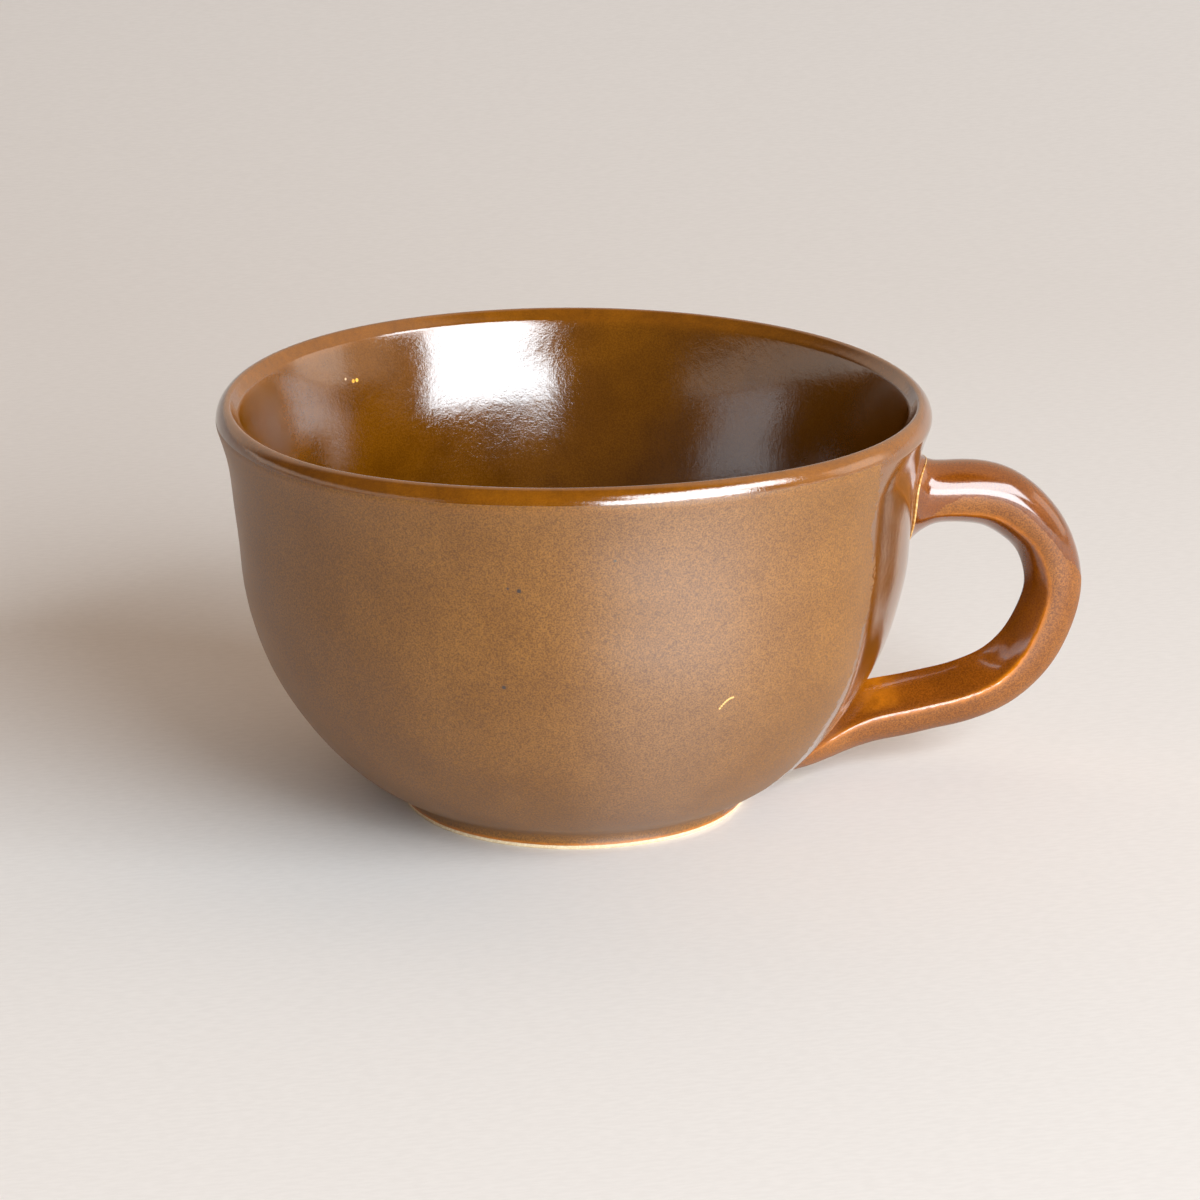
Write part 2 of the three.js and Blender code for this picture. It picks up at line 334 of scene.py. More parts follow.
# outside, the throwing rings spread a reflection up and down more than sideways
wallLook = dict(
    glossLook,
    deep=(0.13, 0.04, 0.0006, 1),
    light=(0.16, 0.05, 0.0009, 1),
    roughness=(0.08, 0.12),
    brushed=0.85,
    specular=0.75,
    bump=0.25,
)
handleLook = dict(
    glossLook,
    deep=(0.14, 0.033, 0.0004, 1),
    light=(0.175, 0.042, 0.0008, 1),
    grain=0.6,
    roughness=(0.12, 0.2),
    specular=0.5,
    coat=0.8,
    bump=0.13,
)
handleSatin = dict(
    satinLook,
    deep=(0.205, 0.062, 0.006, 1),
    light=(0.245, 0.08, 0.01, 1),
    coat=0.0,
)
clayLook = dict(color=(0.86, 0.72, 0.5, 1), dark=(0.72, 0.54, 0.32, 1), roughness=0.85, bump=0.4)
slipLook = dict(color=(0.86, 0.6, 0.26, 1), dark=(0.5, 0.2, 0.02, 1), roughness=0.35, bump=0.4)
clayGrain = dict(noise=(0.5, 4, 0.7), range=(0.35, 0.7))


def clayMaterial(name, look):
    material, tree, shader = newMaterial(name, Roughness=look["roughness"])
    grain = noise(tree, objectPlace(tree), *clayGrain["noise"])
    color = mixColor(tree, ranged(tree, grain, *clayGrain["range"]), look["dark"], look["color"])
    tree.links.new(color, shader.inputs["Base Color"])
    addRelief(tree, shader, grain, look["bump"])
    return material


glazeGroup = makeGlazeGroup()
satinGlaze = glazeMaterial("satinGlaze", glazeGroup, wallLook, satinLook)
glossGlaze = glazeMaterial("glossGlaze", glazeGroup, glossLook)
handleGlaze = glazeMaterial("handleGlaze", glazeGroup, handleLook, handleSatin)
bareClay = clayMaterial("bareClay", clayLook)
firedSlip = clayMaterial("firedSlip", slipLook)
print("materials made")


# Bowl: outline as radius and height, turned about the axis, with the lip's hand-made dip

bowl = dict(
    lipHalf=(2.0, 1.2),  # the lip is an oval: half its long and its short axis
    lipTilt=21,  # degrees that the short axis points up from level
    lipFlare=17.7,
    lipFlarePull=5.9,
    waistRadius=51.7,
    waistHeight=39.5,
    waistLean=4,
    waistRise=14,
    bellyRise=17.6,
    bellyReach=10.3,
    bellySlope=23.5,
    bellyStart=(28.8, 3.2),
    footRadius=26.9,
    footBandHeight=1.2,
    footFillet=2.4,  # height of the corner that the foot's hollow curve bends round
    footRingWidth=3.6,
    wipedEdge=0.7,
    wipedTop=0.8,  # the row just above the wiped edge, which keeps that edge crisp
    lipInnerLean=40,
    lipBevel=2.1,  # the lip slopes inwards this far, then turns down into the wall
    bevelPulls=(1.4, 0.65),
    innerWallLean=17,
    innerWallPull=7,
    innerWaist=(45.6, 37),
    innerWaistLean=9,
    innerWaistRise=10,
    innerBellyDrop=17,
    innerFloorReach=15,
    floorRadius=17,
    floorHeight=7.6,
    floorDish=0.5,
    poleRadius=0.5,  # an outline that reaches the axis ends this far from it, and a pole closes it
    seamRise=7,  # the inside's glaze laps over the lip to where its face has this rise in degrees
    segments=300,
)
bowlRows = dict(
    footFillet=10,
    belly=52,
    wall=60,
    lipOver=9,
    lip=37,
    bevel=14,
    innerWall=30,
    innerBelly=40,
    floor=14,
)


def lipPoint(degrees):
    # the oval's point whose outward normal n has that rise:
    # its middle + (a^2 n1, b^2 n2) / |(a n1, b n2)|, measured along its long and short axes
    long, short = bowl["lipHalf"]
    tilt = math.radians(bowl["lipTilt"])
    reach = np.array([
        math.hypot(long * math.sin(tilt), short * math.cos(tilt)),
        math.hypot(long * math.cos(tilt), short * math.sin(tilt)),
    ])
    turn = np.radians(degrees) - tilt
    length = np.hypot(long * np.sin(turn), short * np.cos(turn))
    onLong = long**2 * np.sin(turn) / length
    onShort = short**2 * np.cos(turn) / length
    across = onShort * math.cos(tilt) - onLong * math.sin(tilt)
    upward = onShort * math.sin(tilt) + onLong * math.cos(tilt)
    return np.array([lipRadius, cupHeight]) - reach + np.stack([across, upward], -1)


def outsideOutline():
    start = np.array(bowl["bellyStart"])
    waist = np.array([bowl["waistRadius"], bowl["waistHeight"]])
    lean = bowl["waistLean"]
    lipStart = lipPoint(-bowl["lipFlare"])
    band = np.array([bowl["footRadius"], bowl["footBandHeight"]])
    corner = np.array([bowl["footRadius"], bowl["footFillet"]])
    fillet = bezier(band, (band + 2 * corner) / 3, (start + 2 * corner) / 3, start, bowlRows["footFillet"])
    bellyFrom = leaning(start, bowl["bellyReach"], 90 - bowl["bellySlope"])
    belly = bezier(start, bellyFrom, leaning(waist, -bowl["bellyRise"], lean), waist, bowlRows["belly"])
    wallTo = leaning(lipStart, -bowl["lipFlarePull"], bowl["lipFlare"])
    wall = bezier(waist, leaning(waist, bowl["waistRise"], lean), wallTo, lipStart, bowlRows["wall"])
    wiped = np.array([[bowl["footRadius"], bowl["wipedEdge"]], [bowl["footRadius"], bowl["wipedTop"]]])
    over = lipPoint(np.linspace(-bowl["lipFlare"], bowl["seamRise"], bowlRows["lipOver"]))
    return np.vstack([wiped, fillet, belly[1:], wall[1:], over[1:]])


def insideOutline():
    lipEnd = lipPoint(180 - bowl["lipInnerLean"])
    waist = np.array(bowl["innerWaist"])
    lean = bowl["innerWaistLean"]
    floorEdge = np.array([bowl["floorRadius"], bowl["floorHeight"] + bowl["floorDish"]])
    over = lipPoint(np.linspace(bowl["seamRise"], 180 - bowl["lipInnerLean"], bowlRows["lip"]))
    bevelEnd = leaning(lipEnd, -bowl["lipBevel"], bowl["lipInnerLean"])
    first, last = bowl["bevelPulls"]
    bevelFrom = leaning(lipEnd, -first, bowl["lipInnerLean"])
    bevelTo = leaning(bevelEnd, last, bowl["innerWallLean"])
    bevel = bezier(lipEnd, bevelFrom, bevelTo, bevelEnd, bowlRows["bevel"])
    wallFrom = leaning(bevelEnd, -bowl["innerWallPull"], bowl["innerWallLean"])
    wallTo = leaning(waist, bowl["innerWaistRise"], lean)
    wall = bezier(bevelEnd, wallFrom, wallTo, waist, bowlRows["innerWall"])
    reach = floorEdge + np.array([bowl["innerFloorReach"], 2 * bowl["floorDish"]])
    bellyFrom = leaning(waist, -bowl["innerBellyDrop"], lean)
    belly = bezier(waist, bellyFrom, reach, floorEdge, bowlRows["innerBelly"])
    middle = np.linspace(bowl["floorRadius"], bowl["poleRadius"], bowlRows["floor"])[1:]
    dish = bowl["floorHeight"] + bowl["floorDish"] * (middle / bowl["floorRadius"]) ** 2
    return np.vstack([over, bevel[1:], wall[1:], belly[1:], np.stack([middle, dish], 1)])


outside = outsideOutline()
inside = insideOutline()
skin = np.vstack([outside, inside[1:]])
seam = len(outside) - 1  # the row where the two glazes meet
innerWall = inside[inside[:, 1].argmax():][::-1]  # from the floor up to the lip's top

# What the potter's hands left on the turned shape
handMade = dict(
    # the lip's dip: height change as waves round the rim, cosine and sine of each count
    rimWaves={1: (0.06, 0.0), 2: (-0.36, -0.27), 3: (-0.06, 0.21)},
    rimTurn=math.radians(12.1),  # the waves are counted from the camera's right
    rimFrom=34,  # height where the dip starts
    # the wall's ripple: depth, count round the wall, radians per millimetre of height, and phase
    wallWaves=((0.05, 5, 0.21, 0.4), (0.04, 3, 0.33, 1.9), (0.03, 8, 0.5, 3.1)),
    wallWavesFrom=(5, 30),  # radii between which they come in
    pressWave=1.8,  # the wall's outer face is pressed in beside the handle, and swells next to that
    pressTurn=42,  # degrees from the handle where the two meet
    pressSpread=13,
    pressRadius=(38, 47),  # it comes in between these radii and goes out between these heights
    pressTop=(56, 62),
    pressBlend=0.5,  # it fades this far each side of the wall's middle
)


def turned(outline):
    # radius times (cos, sin) of the turn; the rim's waves lift it above mid height,
    # the wall's waves ripple its radius, and u exp(-u^2), with u the degrees from the place
    # beside the handle over the spread, presses its outer face in and out below the lip
    turn = np.linspace(0, 2 * math.pi, bowl["segments"], endpoint=False)[None]
    radius = outline[:, :1] + 0 * turn
    height = outline[:, 1:] + 0 * turn
    lift = smooth(height, handMade["rimFrom"], cupHeight)
    rimTurn = turn + handMade["rimTurn"]
    for count, (cosine, sine) in handMade["rimWaves"].items():
        wave = cosine * np.cos(count * rimTurn) + sine * np.sin(count * rimTurn)
        height = height + lift * wave
    for depth, count, perHeight, phase in handMade["wallWaves"]:
        ripple = np.sin(count * turn + perHeight * height + phase)
        radius = radius + smooth(radius, *handMade["wallWavesFrom"]) * depth * ripple
    beside = np.degrees(np.minimum(turn, 2 * math.pi - turn))
    apart = (beside - handMade["pressTurn"]) / handMade["pressSpread"]
    wave = handMade["pressWave"] * apart * np.exp(-(apart**2))
    innerRadius = np.interp(height, innerWall[:, 1], innerWall[:, 0])
    middle = (innerRadius + np.interp(height, outside[:, 1], outside[:, 0])) / 2
    blend = handMade["pressBlend"]
    outer = smooth(radius - middle, -blend, blend)  # 1 on the wall's outer face, 0 on its inner one
    below = 1 - smooth(height, *handMade["pressTop"])
    radius = radius + outer * smooth(radius, *handMade["pressRadius"]) * below * wave
    return np.stack([radius * np.cos(turn), radius * np.sin(turn), height], -1)


def around(values):  # one value for each row, repeated all the way round
    return np.repeat(values[:, None], bowl["segments"], axis=1)


outsideGlaze = dict(
    backStep=4,  # the coat's back has one row for this many of its face
    footThin=0.7,  # how far the glaze thins at the wiped foot, and the height it takes
    footRise=0.4,
    lipThin=0.04,  # the same under the lip: how far, how far under the seam, and its spread
    lipDrop=0.9,
    lipSpread=0.7,
    glossBeside=(42, 47.5),  # degrees from the handle where the glaze turns from gloss to satin
    glossWander=((1.5, 0.17, 0.6), (0.8, 0.43, 2.0)),  # its wander: degrees, radians per mm, phase
)


def makeOutsideGlaze():
    back = offset(skin, -glazeThickness)[:seam + 1][::-1]
    outline = np.vstack([skin[:seam + 1], thinned(back, outsideGlaze["backStep"])])
    height = outline[:, 1]
    foot = 1 - smooth(height, bowl["wipedEdge"], bowl["wipedEdge"] + outsideGlaze["footRise"])
    fromLip = (height - outside[seam, 1] + outsideGlaze["lipDrop"]) / outsideGlaze["lipSpread"]
    thin = outsideGlaze["footThin"] * foot + outsideGlaze["lipThin"] * np.exp(-(fromLip**2))
    turn = np.linspace(0, 360, bowl["segments"], endpoint=False)
    beside = np.minimum(turn, 360 - turn)[None]  # degrees from the handle
    waves = outsideGlaze["glossWander"]
    wander = sum(size * np.sin(perHeight * height + phase) for size, perHeight, phase in waves)
    gloss = 1 - smooth(beside + wander[:, None], *outsideGlaze["glossBeside"])
    masks = {"thin": around(np.clip(thin, 0, 1)), "gloss": gloss}
    grid = turned(outline)
    makePiece("outside_glaze_skin", grid, satinGlaze, ["outside_glaze"], True, masks)


# Marks in the glaze: turn from the handle in degrees, height and size in millimetres

wallMarks = [
    dict(turn=-110.9, height=49.2, size=0.42, color=(0.03, 0.022, 0.022, 1)),
    dict(turn=-112.7, height=49.5, size=0.26, color=(0.05, 0.03, 0.025, 1)),
    dict(turn=-113.8, height=33.8, size=0.4, color=(0.04, 0.03, 0.03, 1)),
    dict(turn=-95.7, height=54.0, size=0.3, color=(0.08, 0.06, 0.04, 1)),
]
# flecks in the inside's glaze, where it broke over a grain
insideMarks = [
    dict(turn=123.4, height=57.35, size=0.42, color=(0.9, 0.42, 0.05, 1)),
    dict(turn=122.5, height=57.35, size=0.42, color=(0.95, 0.55, 0.08, 1)),
    dict(turn=125.2, height=57.95, size=0.3, color=(0.9, 0.55, 0.3, 1)),
]
# a chipped crescent on the outside: a run of small marks between two ends, with a bow
chip = dict(
    count=9,
    turns=(-76.5, -74.3),
    heights=(28.8, 30.4),
    bow=0.4,
    size=0.25,
    color=(0.85, 0.48, 0.14, 1),
)
markCore = 0.5  # share of a mark's size that has its full colour


def chipMarks():  # the bow is 4t(1 - t) between the ends
    marks = []
    for t in np.linspace(0, 1, chip["count"]):
        turn = np.interp(t, (0, 1), chip["turns"])
        height = np.interp(t, (0, 1), chip["heights"]) + 4 * t * (1 - t) * chip["bow"]
        marks.append(dict(turn=turn, height=height, size=chip["size"], color=chip["color"]))
    return marks


def paintMarks(material, marks, wall):  # each mark is a small round of colour about a point of the wall
    tree = material.node_tree
    baseColor = tree.nodes["Principled BSDF"].inputs["Base Color"]
    color = baseColor.links[0].from_socket
    place = objectPlace(tree)
    for mark in marks:
        radius = np.interp(mark["height"], wall[:, 1], wall[:, 0]) * mm
        turn = math.radians(mark["turn"])
        point = (bowlX + radius * math.cos(turn), radius * math.sin(turn), mark["height"] * mm)
        apart = addNode(tree, "VectorMath", {0: place, 1: point}, operation="DISTANCE").outputs["Value"]
        spot = ranged(tree, apart, markCore * mark["size"] * mm, mark["size"] * mm, 1, 0)
        color = mixColor(tree, spot, color, mark["color"])
    tree.links.new(color, baseColor)


insideGlaze = dict(
    backStep=4,
    lipThin=0.1,  # how far the glaze thins on the lip, and the heights it comes in between
    lipHeights=(61.5, 63.5),
)


def makeInsideGlaze():
    face = skin[seam:][::-1]
    back = offset(skin, -glazeThickness)[seam:]
    pole = [bowl["poleRadius"], back[-1, 1]]
    outline = np.vstack([face, back[0], back[2:-1:insideGlaze["backStep"]], pole])
    lip = smooth(outline[:, 1], *insideGlaze["lipHeights"]) * insideGlaze["lipThin"]
    masks = {"thin": around(lip)}
    grid = turned(outline)
    makePiece("inside_glaze_skin", grid, glossGlaze, ["inside_glaze"], False, masks)


footRecess = dict(
    height=2.4,
    flatInset=3.4,  # the recess is flat to this far inside the ring, then bends down to the ring's edge
    flatPull=1.2,
    ringPull=(1.2, 1.8),  # inside the ring, and height
    faceLift=0.02,  # the glaze's face is this far up from the outline
    thinHeights=(0.4, 1.4),  # the glaze thins downwards between these heights
    flatRows=8,
    bendRows=12,
)


def recessOutline(lift):  # hollow under the foot, from near the axis to the ring's inner edge
    ring = bowl["footRadius"] - bowl["footRingWidth"]
    inset, pullHeight = footRecess["ringPull"]
    start = np.array([bowl["poleRadius"], footRecess["height"]])
    flatEnd = np.array([ring - footRecess["flatInset"], footRecess["height"]])
    bendTo = np.array([ring - inset, pullHeight])
    ringEdge = np.array([ring, bowl["wipedEdge"]])
    flat = np.linspace(start, flatEnd, footRecess["flatRows"])
    bend = bezier(flatEnd, flatEnd + [footRecess["flatPull"], 0], bendTo, ringEdge, footRecess["bendRows"])
    return np.vstack([flat, bend[1:]]) + np.array([0, lift])


footRing = dict(
    inset=0.06,  # the bare ring's outer side is this far inside the foot's radius
    innerBevel=(0.3, 0.25),  # width and height
    outerBevel=(0.2, 0.18),
    sideTop=0.62,
    clayStep=3,  # the clay's wall has one row for this many of the glaze's face
)


def makeClayBowl():
    under = glazeThickness + claySink
    wall = offset(skin, -under)
    wall[0, 1] = bowl["wipedEdge"]
    inner = bowl["footRadius"] - bowl["footRingWidth"]
    outer = bowl["footRadius"] - footRing["inset"]
    innerWidth, innerHeight = footRing["innerBevel"]
    outerWidth, outerHeight = footRing["outerBevel"]
    ring = np.array([
        [inner, innerHeight],
        [inner + innerWidth, 0],
        [outer - outerWidth, 0],
        [outer, outerHeight],
        [outer, footRing["sideTop"]],
    ])
    outline = np.vstack([recessOutline(under), ring, thinned(wall, footRing["clayStep"])])
    makePiece("clay_bowl", turned(outline), bareClay, ["bowl"])


def makeRecessGlaze():
    outline = np.vstack([recessOutline(footRecess["faceLift"]), recessOutline(glazeThickness)[::-1]])
    masks = {"thin": around(1 - smooth(outline[:, 1], *footRecess["thinHeights"]))}
    grid = turned(outline)
    makePiece("foot_recess_skin", grid, glossGlaze, ["foot_recess_glaze"], False, masks)


makeOutsideGlaze()
paintMarks(satinGlaze, wallMarks + chipMarks(), outside)
paintMarks(glossGlaze, insideMarks, innerWall)
makeInsideGlaze()
makeClayBowl()
makeRecessGlaze()


# Handle: a rolled rod bent to a loop, round outside, drawn to a blunt roof inside, flared onto the wall

rod = dict(
    # radius and height of the rod's middle, its width and its thickness, from the upper root to the tail
    stations=np.array([
        [44.0, 46.4, 15.0, 16.0],
        [50.0, 45.9, 12.4, 13.2],
        [55.0, 45.5, 10.7, 11.2],
        [58.3, 45.4, 10.1, 10.1],
        [62.4, 45.25, 10.1, 10.1],
        [67.5, 44.2, 10.1, 10.1],
        [72.2, 41.1, 9.8, 9.6],
        [75.1, 37.8, 9.5, 9.1],
        [76.8, 34.1, 9.3, 9.1],
        [77.57, 29.5, 9.3, 9.3],
        [75.8, 22.8, 9.2, 9.8],
        [73.9, 19.4, 9.2, 10.0],
        [71.4, 16.6, 9.3, 10.1],
        [68.2, 14.3, 9.5, 10.2],
        [64.5, 12.8, 9.8, 10.2],
        [61.0, 11.9, 9.9, 10.1],
        [57.1, 11.3, 10.0, 10.0],
        [52.5, 10.6, 10.2, 10.1],
        [48.0, 10.1, 10.9, 10.1],
        [42.0, 8.7, 14.0, 9.7],
        [36.0, 7.0, 20.0, 8.2],
        [28.0, 5.6, 23.0, 4.0],
    ]),
    around=96,
    rowsBetween=150,
    rowsInFillet=14,
    pathSteps=1200,
    sunk=0.4,
    upperFillet=(5.5, 4.0, 7.0),  # radius on the outer face, the sides and the inner face
    upperSpread=(5.0, 3.5, 6.5),  # how far it runs out on the wall there
    upperSearch=(0.0, 0.3),  # shares of the path, inside the wall and out of it, between which the root lies
    lowerFillet=(7.0, 3.0, 2.5),
    lowerSpread=(5.0, 4.0, 2.5),
    lowerSearch=(1.0, 0.6),
    halvings=34,  # steps of the search for the wall
    probe=0.5,  # the rod is swollen by this much to find which way is out of it
    wallSteps=3,  # steps that settle the fillet on the wall
    # share of the path and shape of the inner half: 0 is round, 1 a straight-sided roof between the ridges
    roof=np.array([[0.3, 0.3], [0.45, 0.55], [0.55, 0.75], [1.0, 0.75]]),
    # the ridge: share of the path, degrees from the side towards the inner face, and how far its glaze thins
    ridge=np.array([
        [0.10, 31, 0.0],
        [0.18, 31, 0.5],
        [0.36, 26, 0.4],
        [0.46, 19, 0.5],
        [0.52, 15, 0.7],
        [0.58, 7, 1.0],
        [0.65, 3, 0.7],
        [0.80, 2, 0.45],
        [0.90, 3, 0.35],
        [0.95, 3, 0.0],
    ]),
    thinSpread=5,  # degrees
    patchShare=0.79,  # painted orange highlight: a patch of the thin glaze's orange on the inner face beside the lower root
    highlightSpread=0.03,
    paintedHighlight=0.34,
    highlightFrom=(12, 30),  # degrees from the side where it comes in
    # where the satin starts on the outer side, in the same degrees:
    # a band on the upper arm, the whole face below
    satinStart=np.array([
        [0.12, 31],
        [0.14, 10],
        [0.17, -5],
        [0.33, -5],
        [0.37, -20],
        [0.40, -55],
        [0.43, -110],
    ]),
    satinBlend=4,  # degrees each side of where it starts and ends
)

ringTurn = np.linspace(0, 2 * math.pi, rod["around"], endpoint=False)
# -90 degrees on the outer face, 0 on both sides, 90 on the inner face
ringFold = np.degrees(np.arcsin(np.clip(-np.sin(ringTurn), -1, 1)))
onOuter = np.clip(np.sin(ringTurn), 0, 1) ** 2
onInner = np.clip(-np.sin(ringTurn), 0, 1) ** 2
pathKnots = np.r_[0, np.cumsum(np.hypot(*np.diff(rod["stations"][:, :2], axis=0).T))]
pathShare = np.linspace(0, 1, rod["pathSteps"])
rodPath = spline(pathKnots, rod["stations"])(pathShare * pathKnots[-1])
pathAlong = np.gradient(rodPath[:, :2], axis=0)
pathAlong /= np.linalg.norm(pathAlong, axis=1)[:, None]
ridgeTable = spline(rod["ridge"][:, 0], rod["ridge"][:, 1:])
ridgeTurn, ridgeThin = ridgeTable(np.clip(pathShare, rod["ridge"][0, 0], rod["ridge"][-1, 0])).T
wallSlope = np.gradient(outside[:, 0], outside[:, 1])


def rodSection(share):
    # the circle's cosine and sine; past the ridge they are mixed with a straight line to the inner face
    ridge = np.interp(share, pathShare, ridgeTurn)
    t = np.clip((ringFold - ridge) / (90 - ridge), 0, 1)
    straightWide = np.sign(np.cos(ringTurn)) * (1 - t) * np.cos(np.radians(ridge))
    straightOut = -(1 - t) * np.sin(np.radians(ridge)) - t
    roof = np.interp(share, *rod["roof"].T) * (t > 0)
    wide = np.cos(ringTurn) * (1 - roof) + straightWide * roof
    return wide, np.sin(ringTurn) * (1 - roof) + straightOut * roof


def rodPoint(share, grow=0.0):
    # path point, plus the section times half the width across, and times half the thickness outwards
    x, z, width, thickness = (np.interp(share, pathShare, part) for part in rodPath.T)
    alongX, alongZ = (np.interp(share, pathShare, part) for part in pathAlong.T)
    wide, out = rodSection(share)
    wide = wide * (width / 2 + grow)
    out = out * (thickness / 2 + grow)
    return np.stack([x - alongZ * out, wide, z + alongX * out], -1)


def wallAt(points):  # distance out of the glazed wall, and the wall's outward normal
    radius = np.hypot(points[..., 0], points[..., 1])
    slope = np.interp(points[..., 2], outside[:, 1], wallSlope)
    steep = 1 / np.sqrt(1 + slope**2)
    gap = (radius - np.interp(points[..., 2], outside[:, 1], outside[:, 0])) * steep
    normal = np.stack([points[..., 0] / radius, points[..., 1] / radius, -slope], -1) * steep[..., None]
    return gap, normal


def alongWall(direction, normal):  # the part of a direction that lies in the wall, one long
    flat = direction - normal * (direction * normal).sum(-1, keepdims=True)
    return flat / np.linalg.norm(flat, axis=-1, keepdims=True)


def shareAtGap(gap, search, grow):  # halving steps to where each line along the rod has that gap to the wall
    low = np.full(gap.shape, search[0])
    high = np.full(gap.shape, search[1])
    for _ in range(rod["halvings"]):
        middle = (low + high) / 2
        outsideWall = wallAt(rodPoint(middle, grow))[0] > gap
        high = np.where(outsideWall, middle, high)
        low = np.where(outsideWall, low, middle)
    return (low + high) / 2


def byFace(values):  # from values on the outer face, sides and inner face, one for each line along the rod
    outer, side, inner = values
    return side + onOuter * (outer - side) + onInner * (inner - side)


def filletRows(radii, spreads, search, grow):
    # a quarter oval between rod and wall: gap r(1 - cos a), spread s(1 - sin a), with r and s by face
    turn = np.radians(np.linspace(0, 90, rod["rowsInFillet"]))[:, None]
    gap = np.vstack([0 * ringTurn[None] - rod["sunk"], byFace(radii) * (1 - np.cos(turn))])
    spread = np.vstack([byFace(spreads)[None], byFace(spreads) * (1 - np.sin(turn))])
    share = shareAtGap(gap, search, grow)
    points = rodPoint(share, grow)
    outward = alongWall(rodPoint(share, grow + rod["probe"]) - points, wallAt(points)[1])
    points = points + outward * spread[..., None]
    for _ in range(rod["wallSteps"]):
        found, normal = wallAt(points)
        points = points + normal * (gap - found)[..., None]
    return points, share


def rodGrid(grow):
    upper, upperShare = filletRows(rod["upperFillet"], rod["upperSpread"], rod["upperSearch"], grow)
    lower, lowerShare = filletRows(rod["lowerFillet"], rod["lowerSpread"], rod["lowerSearch"], grow)
    t = np.linspace(0, 1, rod["rowsBetween"])[1:-1, None]
    share = upperShare[-1] + (lowerShare[-1] - upperShare[-1]) * t
    grid = np.concatenate([upper, rodPoint(share, grow), lower[::-1]])
    return grid, np.concatenate([upperShare, share, lowerShare[::-1]])


def makeHandle():
    face, share = rodGrid(0.0)
    back = rodGrid(-glazeThickness)[0][::-1]
    clay = rodGrid(-glazeThickness - claySink)[0]
    away = ringFold - np.interp(share, pathShare, ridgeTurn)
    onRidge = np.exp(-((away / rod["thinSpread"]) ** 2))
    # painted orange highlight beside the lower root, added to the thin-glaze mask
    patch = np.exp(-(((share - rod["patchShare"]) / rod["highlightSpread"]) ** 2))
    thin = onRidge * np.clip(np.interp(share, pathShare, ridgeThin), 0, 1)
    thin = thin + rod["paintedHighlight"] * patch * smooth(ringFold, *rod["highlightFrom"])
    blend = rod["satinBlend"]
    fromStart = ringFold - np.interp(share, *rod["satinStart"].T)
    satin = smooth(fromStart, -blend, blend) * (1 - smooth(away, -blend, blend))
    masks = {"thin": np.concatenate([thin, 0 * thin]), "gloss": np.concatenate([1 - satin, 0 * satin])}
    both = np.concatenate([face, back])
    makePiece("handle_glaze_skin", both, handleGlaze, ["handle_glaze"], True, masks)
    makePiece("handle_clay", clay, bareClay, ["handle"])
    return face


handleFace = makeHandle()


# Slip joints: a bead of slip in the crease where each root meets the wall

slipBead = dict(
    # half its width and height on the rod's sides, the share of them on its outer and inner face,
    # and the row of the handle's grid that it follows on the outer face, the sides and the inner face
    upper=dict(width=0.34, height=0.22, top=0.3, rows=(11, 8, 5)),
    lower=dict(width=0.3, height=0.2, top=0.6, rows=(174, 174, 174)),
    sides=12,
)


def filletLine(rows):  # points on the handle's face at a row that changes by side, mixed between two rows
    row = byFace(rows)
    low = np.floor(row).astype(int)
    column = np.arange(rod["around"])
    share = (row - low)[:, None]
    return handleFace[low, column] * (1 - share) + handleFace[low + 1, column] * share


def makeSlipJoint(name, bead, nodes):
    # a tube with an oval section, carried round the fillet; it is fullest on the rod's two sides
    root = filletLine(bead["rows"])
    normal = wallAt(root)[1]
    outward = alongWall(root - root.mean(0), normal)
    turn = np.linspace(0, 2 * math.pi, slipBead["sides"], endpoint=False)[:, None, None]
    full = 1 - (1 - bead["top"]) * (onOuter + onInner)
    full = full[None, :, None]
    grid = root + full * (bead["width"] * np.cos(turn) * outward + bead["height"] * np.sin(turn) * normal)
    makePiece(name, grid, firedSlip, nodes, True)


makeSlipJoint("upper_slip_bead", slipBead["upper"], ["upper_slip_joint"])
makeSlipJoint("lower_slip_bead", slipBead["lower"], ["lower_slip_joint"])


# Floor, light and camera

floorLook = dict(
    color=(0.8, 0.775, 0.745, 1),
    dark=(0.77, 0.745, 0.715, 1),
    roughness=0.75,
    weave=(0.8, 3),  # grain width in millimetres and detail
    weaveRange=(0.3, 0.7),
    weaveStretch=(0.35, 1, 1),
    nearEnd=-4.0,  # metres from the cup, and so are bendStart, farEnd and half
    bendStart=0.3,  # from here on the paper bends up
    bend=0.25,  # rise per metre squared
    farEnd=1.5,
    half=4.0,
    bendRows=40,
)
cameraView = dict(
    turn=-12.1,  # degrees from looking along +Y
    rise=17.64,
    distance=800,
    aimHeight=30,
    yaw=0.286,
    pitch=0.099,
    focalPixels=5138,
    imagePixels=1200,
    sensorWidth=36,
)


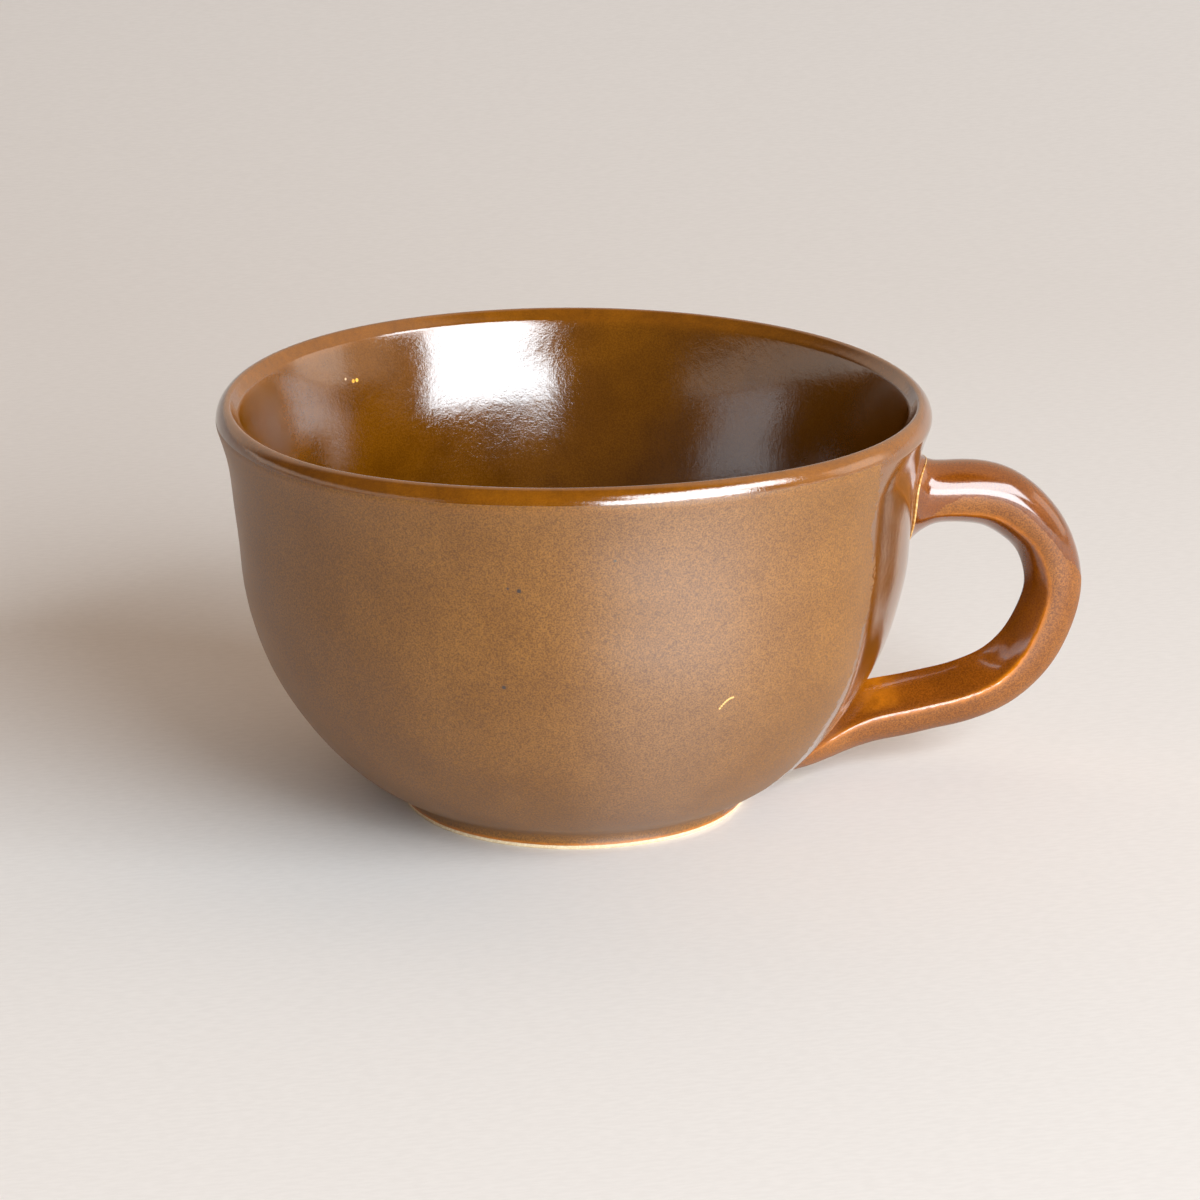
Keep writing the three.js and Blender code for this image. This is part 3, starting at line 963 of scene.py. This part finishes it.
def makeFloor():
    # rows step away from the camera; height is bend times the square of the distance past the bend's start
    past = np.linspace(floorLook["bendStart"], floorLook["farEnd"], floorLook["bendRows"])
    away = np.r_[floorLook["nearEnd"], past]
    height = floorLook["bend"] * np.clip(away - floorLook["bendStart"], 0, None) ** 2
    turn = math.radians(cameraView["turn"])
    ahead = np.array([-math.sin(turn), math.cos(turn), 0])
    aside = np.array([math.cos(turn), math.sin(turn), 0])
    middle = away[:, None] * ahead + height[:, None] * np.array([0, 0, 1])
    points = np.concatenate([middle - floorLook["half"] * aside, middle + floorLook["half"] * aside])
    row = np.arange(len(away) - 1)
    faces = np.stack([row, row + len(away), row + len(away) + 1, row + 1], 1)
    mesh = bpy.data.meshes.new("floor")
    mesh.from_pydata(points.tolist(), [], faces.tolist())
    mesh.polygons.foreach_set("use_smooth", np.ones(len(faces), bool))
    material, tree, shader = newMaterial("paleFloor", Roughness=floorLook["roughness"])
    stretched = {"Vector": objectPlace(tree), "Scale": floorLook["weaveStretch"]}
    weave = noise(tree, addNode(tree, "Mapping", stretched).outputs[0], *floorLook["weave"])
    woven = ranged(tree, weave, *floorLook["weaveRange"])
    color = mixColor(tree, woven, floorLook["dark"], floorLook["color"])
    tree.links.new(color, shader.inputs["Base Color"])
    mesh.materials.append(material)
    floor = bpy.data.objects.new("floor", mesh)
    bpy.context.scene.collection.objects.link(floor)


def onSphere(turn, rise, distance):  # a point seen from the cup at a turn from the camera's side and a rise
    a = math.radians(turn + cameraView["turn"])
    e = math.radians(rise)
    aim = Vector((bowlX, 0, cameraView["aimHeight"] * mm))
    return aim + Vector((math.sin(a) * math.cos(e), -math.cos(a) * math.cos(e), math.sin(e))) * distance


# turn and rise in degrees as seen from the cup, spread across and up in degrees, and brightness as radiance
lamps = dict(
    keyLow=dict(turn=32, rise=11, across=47, up=18, distance=2.0, bright=12.0, color=(0.93, 1, 1.06)),
    keyBox=dict(turn=46, rise=31, across=50, up=22, distance=2.0, bright=9.6, color=(0.93, 1, 1.06)),
    leftCard=dict(turn=-84, rise=9, across=84, up=12, distance=2.0, bright=0.8, color=(1, 0.85, 0.72)),
    rightCard=dict(turn=103, rise=14, across=26, up=22, distance=2.0, bright=1.2, color=(1, 0.88, 0.78)),
)


def makeLamps():
    aim = onSphere(0, 0, 0)
    for name, lamp in lamps.items():
        data = bpy.data.lights.new(name, "AREA")
        data.shape = "RECTANGLE"
        data.size = 2 * lamp["distance"] * math.tan(math.radians(lamp["across"] / 2))
        data.size_y = 2 * lamp["distance"] * math.tan(math.radians(lamp["up"] / 2))
        data.color = lamp["color"]
        data.energy = lamp["bright"] * math.pi * data.size * data.size_y
        light = bpy.data.objects.new(name, data)
        light.location = onSphere(lamp["turn"], lamp["rise"], lamp["distance"])
        light.rotation_euler = (aim - light.location).to_track_quat("-Z", "Y").to_euler()
        light.visible_camera = False
        bpy.context.scene.collection.objects.link(light)


# the paper sweep behind the cup is lit, the rest of the room is dark
roomLook = dict(
    sweep=(0.8, 0.6, 0.46, 1),
    dark=(0.055, 0.049, 0.044, 1),
    edge=(-0.05, 0.3),
    turn=-30,  # degrees that the sweep is turned to the right of straight behind
)


def makeRoom():
    world = bpy.data.worlds.new("room")
    world.use_nodes = True
    bpy.context.scene.world = world
    tree = world.node_tree
    place = addNode(tree, "TexCoord").outputs["Generated"]
    turn = math.radians(cameraView["turn"] + roomLook["turn"])
    ahead = (-math.sin(turn), math.cos(turn), 0)
    away = addNode(tree, "VectorMath", {0: place, 1: ahead}, operation="DOT_PRODUCT")
    behind = ranged(tree, away.outputs["Value"], *roomLook["edge"])
    color = mixColor(tree, behind, roomLook["dark"], roomLook["sweep"])
    tree.links.new(color, tree.nodes["Background"].inputs["Color"])


def makeCamera():
    data = bpy.data.cameras.new("camera")
    data.sensor_width = cameraView["sensorWidth"]
    data.lens = cameraView["focalPixels"] / cameraView["imagePixels"] * data.sensor_width
    camera = bpy.data.objects.new("camera", data)
    camera.location = onSphere(0, cameraView["rise"], cameraView["distance"] * mm)
    forward = (onSphere(0, 0, 0) - camera.location).normalized()
    right = forward.cross(Vector((0, 0, 1))).normalized()
    up = right.cross(forward)
    yaw = math.tan(math.radians(cameraView["yaw"]))
    pitch = math.tan(math.radians(cameraView["pitch"]))
    forward = forward + right * yaw + up * pitch
    camera.rotation_euler = forward.to_track_quat("-Z", "Y").to_euler()
    bpy.context.scene.collection.objects.link(camera)
    bpy.context.scene.camera = camera


makeFloor()
makeLamps()
makeRoom()
makeCamera()
bpy.context.scene.view_settings.view_transform = "Standard"
print("floor, lamps, room and camera made")
